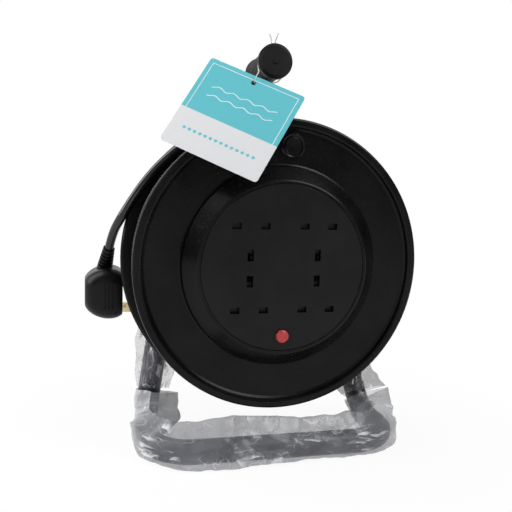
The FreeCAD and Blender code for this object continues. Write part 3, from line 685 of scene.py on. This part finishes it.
@dataclass
class Studio:
    """Camera, lights and floor."""

    layout: Layout
    camera_at: Place = (-150.7, -504.5, 76.6)
    yaw: float = 0.249
    pitch: float = -0.128
    roll: float = 0.031
    focal_px: float = 700.0
    frame_px: float = 512.0
    sensor_mm: float = 36.0
    dim: float = 0.04
    above: float = 0.24
    behind: float = 0.15
    floor_glow: float = 0.92
    floor_half: float = 4.0
    shadow_from: float = 0.13
    shadow_to: float = 0.32
    aim: Place = (0.0, 30.0, 0.0)
    lamps: tuple[SoftBox, ...] = (
        SoftBox("key", (600.0, -450.0, 800.0), (0.6, 0.6), 6.9),
        SoftBox("fill", (-500.0, -700.0, 200.0), (0.8, 0.8), 1.2),
        SoftBox("rim", (-600.0, 150.0, 380.0), (0.4, 0.8), 5.0),
    )

    def camera(self) -> None:
        """Place the camera at the photograph's view."""
        data = bpy.data.cameras.new("camera")
        data.sensor_width = self.sensor_mm
        data.lens = self.sensor_mm * self.focal_px / self.frame_px
        data.clip_start = 0.01
        ahead = Vector((math.sin(self.yaw) * math.cos(self.pitch),
                        math.cos(self.yaw) * math.cos(self.pitch), math.sin(self.pitch)))
        side = Vector((math.cos(self.yaw), -math.sin(self.yaw), 0.0))
        up = side.cross(ahead)
        right = side * math.cos(self.roll) + up * math.sin(self.roll)
        over = up * math.cos(self.roll) - side * math.sin(self.roll)
        turn = Matrix((right, over, -ahead)).transposed()
        camera = bpy.data.objects.new("camera", data)
        place = Matrix.Translation(self.layout.at(*self.camera_at))
        camera.matrix_world = place @ turn.to_4x4()
        bpy.context.scene.collection.objects.link(camera)
        bpy.context.scene.camera = camera

    def lamp(self, box: SoftBox) -> None:
        """Add a soft box.

        Args:
            box: Its name, place, size and power.
        """
        data = bpy.data.lights.new(box.name, "AREA")
        data.shape = "RECTANGLE"
        data.size, data.size_y = box.size
        data.energy = box.watts
        lamp = bpy.data.objects.new(box.name, data)
        place = self.layout.at(*box.at)
        turn = (self.layout.at(*self.aim) - place).to_track_quat("-Z", "Y").to_matrix()
        lamp.matrix_world = Matrix.Translation(place) @ turn.to_4x4()
        bpy.context.scene.collection.objects.link(lamp)

    def world(self) -> None:
        """Light softly from above and behind, with a white backdrop for the camera and gloss."""
        world = bpy.data.worlds.new("studio")
        bpy.context.scene.world = world
        world.use_nodes = True
        sky = Graph(world.node_tree, "Generated")
        _, ahead, over = sky.parts(sky.place)
        rays = sky.add("ShaderNodeLightPath")
        light = self.dim + over.spread(0.0, 1.0) * self.above
        light = light + ahead.spread(-0.2, 0.8) * self.behind
        mirrored = rays.out("Is Glossy Ray") + rays.out("Is Transmission Ray")
        share = (rays.out("Is Camera Ray") + mirrored * ahead.spread(0.2, 0.9)).spread(0.0, 1.0)
        background = world.node_tree.nodes["Background"]
        background.inputs["Color"].default_value = (*WHITE, 1.0)
        strength = light + share * (1.0 - light)
        world.node_tree.links.new(strength.socket, background.inputs["Strength"])

    def floor(self) -> None:
        """Lay a white floor that keeps the reel's soft shadow close to it."""
        bm = bmesh.new()
        bmesh.ops.create_grid(bm, x_segments=1, y_segments=1, size=self.floor_half)
        floor = mesh_object("studio_floor", bm)
        shader = Shader("floor_white")
        shader.feed("Base Color", (0.90, 0.90, 0.90))
        shader.feed("Roughness", 0.9)
        x, y, _ = shader.parts(shader.place)
        away = (x * x + y * y) ** 0.5
        glow = shader.add("ShaderNodeEmission", None, {"Color": (*WHITE, 1.0)})
        rays = shader.add("ShaderNodeLightPath")
        mirrored = rays.out("Is Glossy Ray") + rays.out("Is Transmission Ray")
        seen = rays.out("Is Camera Ray") + mirrored
        clear = away.spread(self.shadow_from, self.shadow_to)
        lit = self.floor_glow + clear * (1 - self.floor_glow)
        share = seen.spread(0.0, 1.0) * lit
        mix = shader.add("ShaderNodeMixShader", None, {0: share})
        shader.tree.links.new(shader.surface.outputs[0], mix.node.inputs[1])
        shader.tree.links.new(glow.node.outputs[0], mix.node.inputs[2])
        output = shader.tree.nodes["Material Output"]
        shader.tree.links.new(mix.node.outputs[0], output.inputs["Surface"])
        shade(floor, shader.material, smooth=False)

    def build(self) -> None:
        """Set up the whole studio."""
        self.camera()
        for box in self.lamps:
            self.lamp(box)
        self.world()
        self.floor()
        bpy.context.scene.view_settings.view_transform = "Standard"


@dataclass
class Flex:
    """The wound flex on the drum and its free end down to the plug."""

    layout: Layout
    palette: Palette
    radius: float = mm(3.65)
    wind_r: float = 107.6
    pitch: float = 7.8
    turns: int = 4
    first_y: float = 21.65
    under_y: float = 21.2
    under_pitch: float = 7.33
    start_deg: float = 210.0
    under_start_deg: float = 300.0
    layer_drop: float = 6.4
    points_per_turn: int = 16
    wobbles: tuple[tuple[float, float], ...] = ((0.35, 4.1), (0.25, 9.7))
    wobble_out: float = 0.1
    wobble_along: float = 0.35
    dive: float = 2.8
    dive_points: int = 3
    tail: tuple[Place, ...] = (
        (-0.054271, -0.005789, 0.253069),
        (-0.072274, -0.004789, 0.241861),
        (-0.088226, -0.004289, 0.227693),
        (-0.101489, -0.003989, 0.211981),
        (-0.111143, -0.002089, 0.197037),
        (-0.119099, 0.004211, 0.182912),
        (-0.124814, 0.016211, 0.169654),
        (-0.127106, 0.023466, 0.156895),
    )

    def on_drum(self, degrees: float, radius: float, y: float) -> Vector:
        """Return a point by its angle about the drum axis, its distance and its depth."""
        angle = math.radians(degrees)
        return self.layout.at(radius * math.cos(angle), y, radius * math.sin(angle))

    def wind(self, name: str, radius: float, turns: float, y0: float, rise: float,
             start: float) -> bpy.types.Object:
        """Return one wound layer.

        Args:
            name: The layer's name.
            radius: Its centreline's distance from the axis in mm.
            turns: How many turns it makes.
            y0: Where it starts in mm behind the panel.
            rise: Its step per turn in mm.
            start: Its first angle in degrees.

        Returns:
            The curve object.
        """
        count = int(turns * self.points_per_turn)
        lift = (1.0 / math.cos(math.pi / self.points_per_turn) ** 2 - 1.0) / 2
        points = []
        for index in range(count + 1):
            turn = index / self.points_per_turn
            wobble = sum(size * math.sin(turn * rate) for size, rate in self.wobbles)
            sunk = self.dive * max(0, self.dive_points - min(index, count - index))
            away = radius * (1.0 + lift) + wobble * self.wobble_out - sunk
            behind = y0 + rise * turn + wobble * self.wobble_along
            points.append(self.on_drum(start - 360.0 * turn, away, behind))
        return nurbs(name, points, self.radius)

    def build(self) -> None:
        """Build the layers and the free end."""
        sheath = self.palette.sheath.make()
        outer = self.wind("flex_outer_layer", self.wind_r, self.turns, self.first_y, self.pitch,
                          self.start_deg)
        under = self.wind("flex_under_layer", self.wind_r - self.layer_drop, self.turns + 1,
                          self.under_y, self.under_pitch, self.under_start_deg)
        for layer, node in ((outer, "winding_outer_layer"), (under, "winding_inner_layers")):
            shade(layer, sheath)
            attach(layer, Body.DRUM.value)
            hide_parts(node)
            log.info("%s built", layer.name)
        self.build_tail(sheath)

    def build_tail(self, sheath: bpy.types.Material) -> None:
        """Build the free end.

        Args:
            sheath: Its material.
        """
        points = [Vector(place) for place in self.tail]
        tail = nurbs("flex_free_end", points, self.radius)
        shade(tail, sheath)
        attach(tail, Body.STAND.value)
        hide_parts("tail_flex")
        2 * self.radius
        log.info("%s built", tail.name)


@dataclass
class StandPath:
    """Centreline of the stand's tube, from the right leg round the floor loop to the left leg."""

    layout: Layout
    half_width: float = 97.0
    depth: float = 75.0
    tube_z: float = -141.0
    lean_in: float = 0.16
    lean_back: float = 0.158
    front_bend: float = 32.0
    foot_bend: float = 30.0
    top: float = 90.0
    step: float = mm(1.5)
    bend_parts: int = 24

    def leg(self, side: int) -> Vector:
        """Return the top of the stretch on one leg."""
        return self.layout.at(side * (self.half_width - self.lean_in * self.top),
                              self.depth + self.lean_back * self.top, self.tube_z + self.top)

    def corners(self) -> list[Vector]:
        """Return the route's ends and corners."""
        at, w, d, z = self.layout.at, self.half_width, self.depth, self.tube_z
        return [self.leg(1), at(w, d, z), at(w, 0, z), at(-w, 0, z), at(-w, d, z), self.leg(-1)]

    def line(self) -> list[Vector]:
        """Return places along the bent route, a step apart."""
        route = self.corners()
        places = [route[0]]
        radii = [mm(r) for r in (self.foot_bend, self.front_bend, self.front_bend, self.foot_bend)]
        for before, corner, after, radius in zip(route, route[1:], route[2:], radii):
            into = (corner - before).normalized()
            out = (after - corner).normalized()
            turn = into.angle(out)
            centre = corner + (out - into).normalized() * (radius / math.cos(turn / 2))
            first = corner - into * radius * math.tan(turn / 2)
            for part in range(self.bend_parts + 1):
                share = part / self.bend_parts * turn
                places.append(centre + (first - centre) * math.cos(share)
                              + into * radius * math.sin(share))
        places.append(route[-1])
        spaced = []
        for a, b in zip(places, places[1:]):
            pieces = max(1, round((b - a).length / self.step))
            spaced += [a.lerp(b, part / pieces) for part in range(pieces)]
        return spaced + [places[-1]]

    def stretch(self, start: float, end: float) -> list[tuple[float, Vector, Vector, Vector]]:
        """Return the rings of a stretch.

        Args:
            start: Where it starts in mm from the middle of the front bar.
            end: Where it ends.

        Returns:
            Distance in mm, place, outward direction and the direction square to both.
        """
        places = self.line()
        runs = [0.0]
        for a, b in zip(places, places[1:]):
            runs.append(runs[-1] + (b - a).length * 1000)
        middle = runs[-1] / 2
        heading = (places[1] - places[0]).normalized()
        out = Vector((1, 0, 0))
        out = (out - heading * out.dot(heading)).normalized()
        rings = []
        for index, place in enumerate(places):
            after = places[min(index + 1, len(places) - 1)] - places[max(index - 1, 0)]
            new = after.normalized()
            out.rotate(heading.rotation_difference(new))
            heading = new
            if start <= runs[index] - middle <= end:
                rings.append((runs[index] - middle, place, out.copy(), heading.cross(out)))
        return rings


@dataclass(frozen=True)
class Slack:
    """How far the film stands off at one place: its outlying edges as (out, over) in mm."""

    at: float
    edges: tuple[tuple[float, float], ...]


@dataclass
class FilmWrap:
    """A loose polythene wrapping round a stretch of the stand's tube.

    Its seed moves the crumples, so that no two wrappings have the same.
    """

    name: str
    node: str
    slack: Sequence[Slack]
    tube_r: float = 9.5
    loose: float = 0.9
    sides: int = 112
    tube_sides: int = 48
    billow: float = mm(2.2)
    billows_per_m: float = 34.0
    crumple: float = mm(0.8)
    crumples_per_m: float = 105.0
    folds_per_m: float = 85.0
    off_tube: float = 0.4
    off_floor: float = 0.2
    map_radius: float = 0.014
    seed: float = 0.0

    def edges_at(self, at: float) -> list[Vector]:
        """Return the film's outlying edges at a place, eased between the given ones.

        Args:
            at: The distance along the tube in mm.

        Returns:
            The edges as (out, over) in mm.
        """
        for low, high in zip(self.slack, self.slack[1:]):
            if low.at <= at <= high.at:
                share = (at - low.at) / (high.at - low.at)
                share = share * share * (3 - 2 * share)
                return [Vector(a).lerp(Vector(b), share) for a, b in zip(low.edges, high.edges)]
        nearest = self.slack[0] if at < self.slack[0].at else self.slack[-1]
        return [Vector(edge) for edge in nearest.edges]

    def outline(self, at: float) -> list[Vector]:
        """Return the film's taut outline round the tube.

        Args:
            at: The distance along the tube in mm.

        Returns:
            The outline's corners in mm from the tube's centre.
        """
        round_tube = self.tube_r + self.loose
        points = [Vector((math.cos(turn), math.sin(turn))) * round_tube
                  for turn in (math.tau * k / self.tube_sides for k in range(self.tube_sides))]
        points += self.edges_at(at)
        return [points[k] for k in geometry.convex_hull_2d([p[:] for p in points])]

    @staticmethod
    def reach(outline: Sequence[Vector], ray: Vector) -> float:
        """Return how far a ray from the tube's centre runs inside an outline.

        Args:
            outline: The outline's corners.
            ray: The ray's direction, of length 1.

        Returns:
            The distance in the outline's unit.
        """
        best = 0.0
        for a, b in zip(outline, [*outline[1:], outline[0]]):
            run = b - a
            cross = ray.x * run.y - ray.y * run.x
            if abs(cross) < 1e-9:
                continue
            along = (a.x * run.y - a.y * run.x) / cross
            share = (a.x * ray.y - a.y * ray.x) / cross
            if along > 0 and -1e-6 <= share <= 1 + 1e-6:
                best = max(best, along)
        return best

    def settle(self, spot: Vector, place: Vector, arm: Vector) -> Vector:
        """Return a place on the film after its crumples, clear of tube and floor.

        Args:
            spot: The place on the taut outline.
            place: The tube's centre beside it.
            arm: The direction from the centre to the film.

        Returns:
            The crumpled place.
        """
        seen = spot + Vector((self.seed, 0.0, self.seed))
        spot = spot + noise.noise_vector(seen * self.billows_per_m) * self.billow
        spot += noise.noise_vector(seen * self.crumples_per_m) * self.crumple
        far = noise.voronoi(seen * self.folds_per_m)[0]
        spot += arm * self.crumple * (far[1] - far[0])
        least = mm(self.tube_r + self.off_tube)
        if (spot - place).length < least:
            spot = place + (spot - place).normalized() * least
        spot.z = max(spot.z, mm(self.off_floor))
        return spot

    def hose(self, count: int) -> bmesh.types.BMesh:
        """Extrude a circle into a hose whose vertices know their ring and their turn.

        Args:
            count: How many rings it has.

        Returns:
            The hose, with every ring still on the first one.
        """
        bm = bmesh.new()
        bmesh.ops.create_circle(bm, cap_ends=False, radius=1.0, segments=self.sides)
        turn_of = bm.verts.layers.float.new("turn")
        ring_of = bm.verts.layers.int.new("ring")
        for vert in bm.verts:
            vert[turn_of] = math.atan2(vert.co.y, vert.co.x)
        edges = bm.edges[:]
        for index in range(1, count):
            grown = bmesh.ops.extrude_edge_only(bm, edges=edges)["geom"]
            fresh = {item for item in grown if isinstance(item, bmesh.types.BMVert)}
            for vert in fresh:
                vert[ring_of] = index
            edges = [item for item in grown if isinstance(item, bmesh.types.BMEdge)
                     and all(vert in fresh for vert in item.verts)]
        return bm

    def build(self, path: StandPath, material: bpy.types.Material) -> None:
        """Build the wrapping.

        Args:
            path: The tube that it lies on.
            material: The film's finish.
        """
        rings = path.stretch(self.slack[0].at, self.slack[-1].at)
        bm = self.hose(len(rings))
        turn_of = bm.verts.layers.float["turn"]
        ring_of = bm.verts.layers.int["ring"]
        outlines = [self.outline(ring[0]) for ring in rings]
        for vert in bm.verts:
            at, place, out, over = rings[vert[ring_of]]
            ray = Vector((math.cos(vert[turn_of]), math.sin(vert[turn_of])))
            away = mm(self.reach(outlines[vert[ring_of]], ray))
            arm = out * ray.x + over * ray.y
            vert.co = self.settle(place + arm * away, place, arm)
        self.unroll(bm, rings)
        seam = min((abs(vert[turn_of] - math.pi / 2), vert[turn_of]) for vert in bm.verts)[1]
        meeting = [edge for edge in bm.edges if all(vert[turn_of] == seam for vert in edge.verts)]
        bmesh.ops.split_edges(bm, edges=meeting)
        bmesh.ops.recalc_face_normals(bm, faces=bm.faces)
        area = sum(face.calc_area() for face in bm.faces)
        length = mm(rings[-1][0] - rings[0][0])
        piece = mesh_object(self.name, bm)
        shade(piece, material)
        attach(piece, Body.STAND.value)
        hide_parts(self.node)
        area / length
        log.info("%s: %.0f mm round, %.0f mm long", self.name, area / length * 1000, length * 1000)

    def unroll(self, bm: bmesh.types.BMesh, rings: Sequence[tuple]) -> None:
        """Give the film a UV map in metres along and round the tube.

        Args:
            bm: The film's mesh.
            rings: The rings of its stretch.
        """
        flat = bm.loops.layers.uv.new("flat")
        turn_of = bm.verts.layers.float["turn"]
        ring_of = bm.verts.layers.int["ring"]
        for face in bm.faces:
            turns = [loop.vert[turn_of] for loop in face.loops]
            wraps = max(turns) - min(turns) > math.pi
            for loop, turn in zip(face.loops, turns):
                whole = turn + math.tau if wraps and turn < 0 else turn
                at = rings[loop.vert[ring_of]][0] + self.seed * 100
                loop[flat].uv = (mm(at), whole * self.map_radius)


@dataclass
class Wrappings:
    """The film on the floor loop and on both legs."""

    layout: Layout
    palette: Palette
    crumple_seed: int = 8
    loop: tuple[Slack, ...] = (
        Slack(-160.0, ((0, 13), (0, 0), (30, 8), (-12, 0))),
        Slack(-133.0, ((0, 15), (14, -9.8), (25, 7), (-9, 0))),
        Slack(-115.0, ((0, 20), (16, -9.8), (18, 4), (0, 0))),
        Slack(-90.0, ((-2, 24), (10, -9.8), (12, 4), (0, 0))),
        Slack(-65.0, ((-1, 25), (8, -9.8), (0, 0), (0, 0))),
        Slack(-42.0, ((-2, 22.5), (9, -9.8), (0, 0), (0, 0))),
        Slack(-15.0, ((-2, 22), (11, -9.8), (0, 0), (0, 0))),
        Slack(13.0, ((-2, 24), (13, -9.8), (0, 0), (0, 0))),
        Slack(37.0, ((-2, 26), (17, -9.8), (0, 0), (0, 0))),
        Slack(62.0, ((-2, 24.3), (15, -9.8), (0, 0), (0, 0))),
        Slack(90.0, ((0, 23), (11, -9.8), (10, 4), (0, 0))),
        Slack(115.0, ((-2, 20), (9, -9.8), (17, 12), (0, 0))),
        Slack(133.0, ((0, 16), (6, -9.8), (12, 10), (-20, 4))),
        Slack(150.0, ((0, 13), (0, 0), (9, 6), (-28, 6))),
        Slack(176.0, ((0, 12.5), (0, 0), (9, 4), (-27, 4))),
    )
    left: tuple[Slack, ...] = (
        Slack(177.0, ((12, 2), (-15, 3))),
        Slack(192.0, ((16, -2), (-18, 2))),
        Slack(214.0, ((19, 0), (-17, 0))),
        Slack(227.0, ((18, 0), (-16, 0))),
    )
    right: tuple[Slack, ...] = (
        Slack(-227.0, ((14, 0), (-15, 0))),
        Slack(-205.0, ((15, 0), (-18, 2))),
        Slack(-184.0, ((19, 0), (-20, 3))),
        Slack(-172.0, ((26, 2), (-19, 4))),
        Slack(-161.0, ((31, 3), (-14, 4))),
    )

    def build(self) -> None:
        """Build the three wrappings, with the same crumples on each run."""
        noise.seed_set(self.crumple_seed)
        path = StandPath(self.layout)
        loop = FilmWrap("film_on_floor_loop", "base_film_sleeve", self.loop)
        left = FilmWrap("film_on_left_leg", "left_leg_film_sleeve", self.left, seed=2.3)
        right = FilmWrap("film_on_right_leg", "right_leg_film_sleeve", self.right, seed=5.1)
        loop.build(path, self.palette.film.make())
        left.build(path, self.palette.thin_film.make())
        # The right leg gets the darker copy of the film, which is painted shade.
        right.build(path, self.palette.painted_shade_film.make())


@dataclass
class HangTag:
    """Square printed card on a cotton string over the grip."""

    layout: Layout
    palette: Palette
    side: float = 0.0803
    centre: Place = (-39.87, 12.84, 111.32)
    swing: float = -16.0
    lean: float = -28.5
    turn: float = 24.9
    string_r: float = mm(0.45)
    knot_r: float = mm(1.5)
    knot_twist: tuple[float, float] = (3600.0, 2600.0)
    knot_groove: float = 0.14
    string: tuple[Place, ...] = (
        (-0.00340, -0.002839, 0.33240),
        (0.00000, -0.004089, 0.32380),
        (-0.00583, -0.004229, 0.32218),
        (-0.01297, -0.004909, 0.31442),
        (-0.01251, -0.005829, 0.30391),
        (-0.01850, -0.032849, 0.29823),
        (-0.02270, -0.035959, 0.29269),
        (-0.02052, -0.028349, 0.28839),
        (0.00400, -0.004789, 0.29450),
        (0.00583, -0.005119, 0.29714),
        (0.01297, -0.004439, 0.30490),
        (0.01251, -0.003519, 0.31541),
        (0.00472, -0.002899, 0.32252),
        (0.00000, -0.002789, 0.32380),
        (0.00360, -0.004239, 0.33320),
    )

    def knot(self, material: bpy.types.Material) -> bpy.types.Object:
        """Build the knot that ties the string's ends.

        Args:
            material: The string's finish.

        Returns:
            The piece.
        """
        centre = (Vector(self.string[1]) + Vector(self.string[-2])) / 2
        bm = bmesh.new()
        bmesh.ops.create_icosphere(bm, subdivisions=4, radius=self.knot_r)
        across, upward = self.knot_twist
        for vert in bm.verts:
            groove = math.sin(vert.co.x * across + vert.co.z * upward) * self.knot_groove
            vert.co *= 1.0 + groove
        bmesh.ops.translate(bm, vec=centre, verts=bm.verts)
        knot = mesh_object("string_knot", bm)
        shade(knot, material)
        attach(knot, Body.STAND.value)
        return knot

    def build(self) -> None:
        """Dress the card and build its string."""
        turn = (Matrix.Rotation(math.radians(self.swing), 3, "Z")
                @ Matrix.Rotation(math.radians(self.lean), 3, "X")
                @ Matrix.Rotation(math.radians(self.turn), 3, "Y"))
        card = PrintedCard("tag_card", self.layout.at(*self.centre), turn.to_euler(), self.side)
        dress(["hang_tag"], card.make())
        cotton = self.palette.string.make()
        cord = nurbs("tag_string_loop", [Vector(place) for place in self.string], self.string_r)
        shade(cord, cotton)
        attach(cord, Body.STAND.value)
        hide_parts("tag_string")
        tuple(self.string[0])
        2 * self.string_r
        self.knot(cotton)
        log.info("tag and string built")


@dataclass
class Fittings:
    """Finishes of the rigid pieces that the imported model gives."""

    palette: Palette

    def build(self) -> None:
        """Dress every rigid node."""
        palette = self.palette
        dress(["front_flange", "rear_flange", "core_barrel"], palette.drum.make())
        dress(["socket_plate"], palette.panel.make())
        dress(["knob_collar", "winding_knob", "winding_knob_cap"], palette.knob.make())
        dress(["handle_grip"], palette.grip.make())
        dress(["plug_body", "plug_strain_relief", "plug_fuse_drawer"], palette.plug.make())
        dress(["reset_button"], palette.button.make())
        dress([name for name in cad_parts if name.startswith("shutter_")],
              palette.shutter.make())
        dress(["contact_block", "thermal_cut_out", "rear_cover"], palette.inner.make())
        dress(["stand_tube", "handle_tube", "spindle_boss"], palette.tube.make())
        dress(["spindle", "thrust_washer", "spindle_spacer", "retaining_washer", "spindle_clip",
               "cover_screws", "flange_screws", "knob_guide"], palette.zinc.make())
        dress(["live_bus_bar", "neutral_bus_bar", "earth_bus_bar", "plug_earth_pin",
               "plug_line_pins"], palette.brass.make())
        log.info("%d nodes dressed", len(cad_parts))


def main() -> None:
    """Build the scene."""
    logging.basicConfig(level=logging.INFO, format="%(message)s")
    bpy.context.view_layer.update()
    layout = Layout()
    palette = Palette()
    Studio(layout).build()
    Flex(layout, palette).build()
    HangTag(layout, palette).build()
    Wrappings(layout, palette).build()
    Fittings(palette).build()


if __name__ == "__main__":
    main()
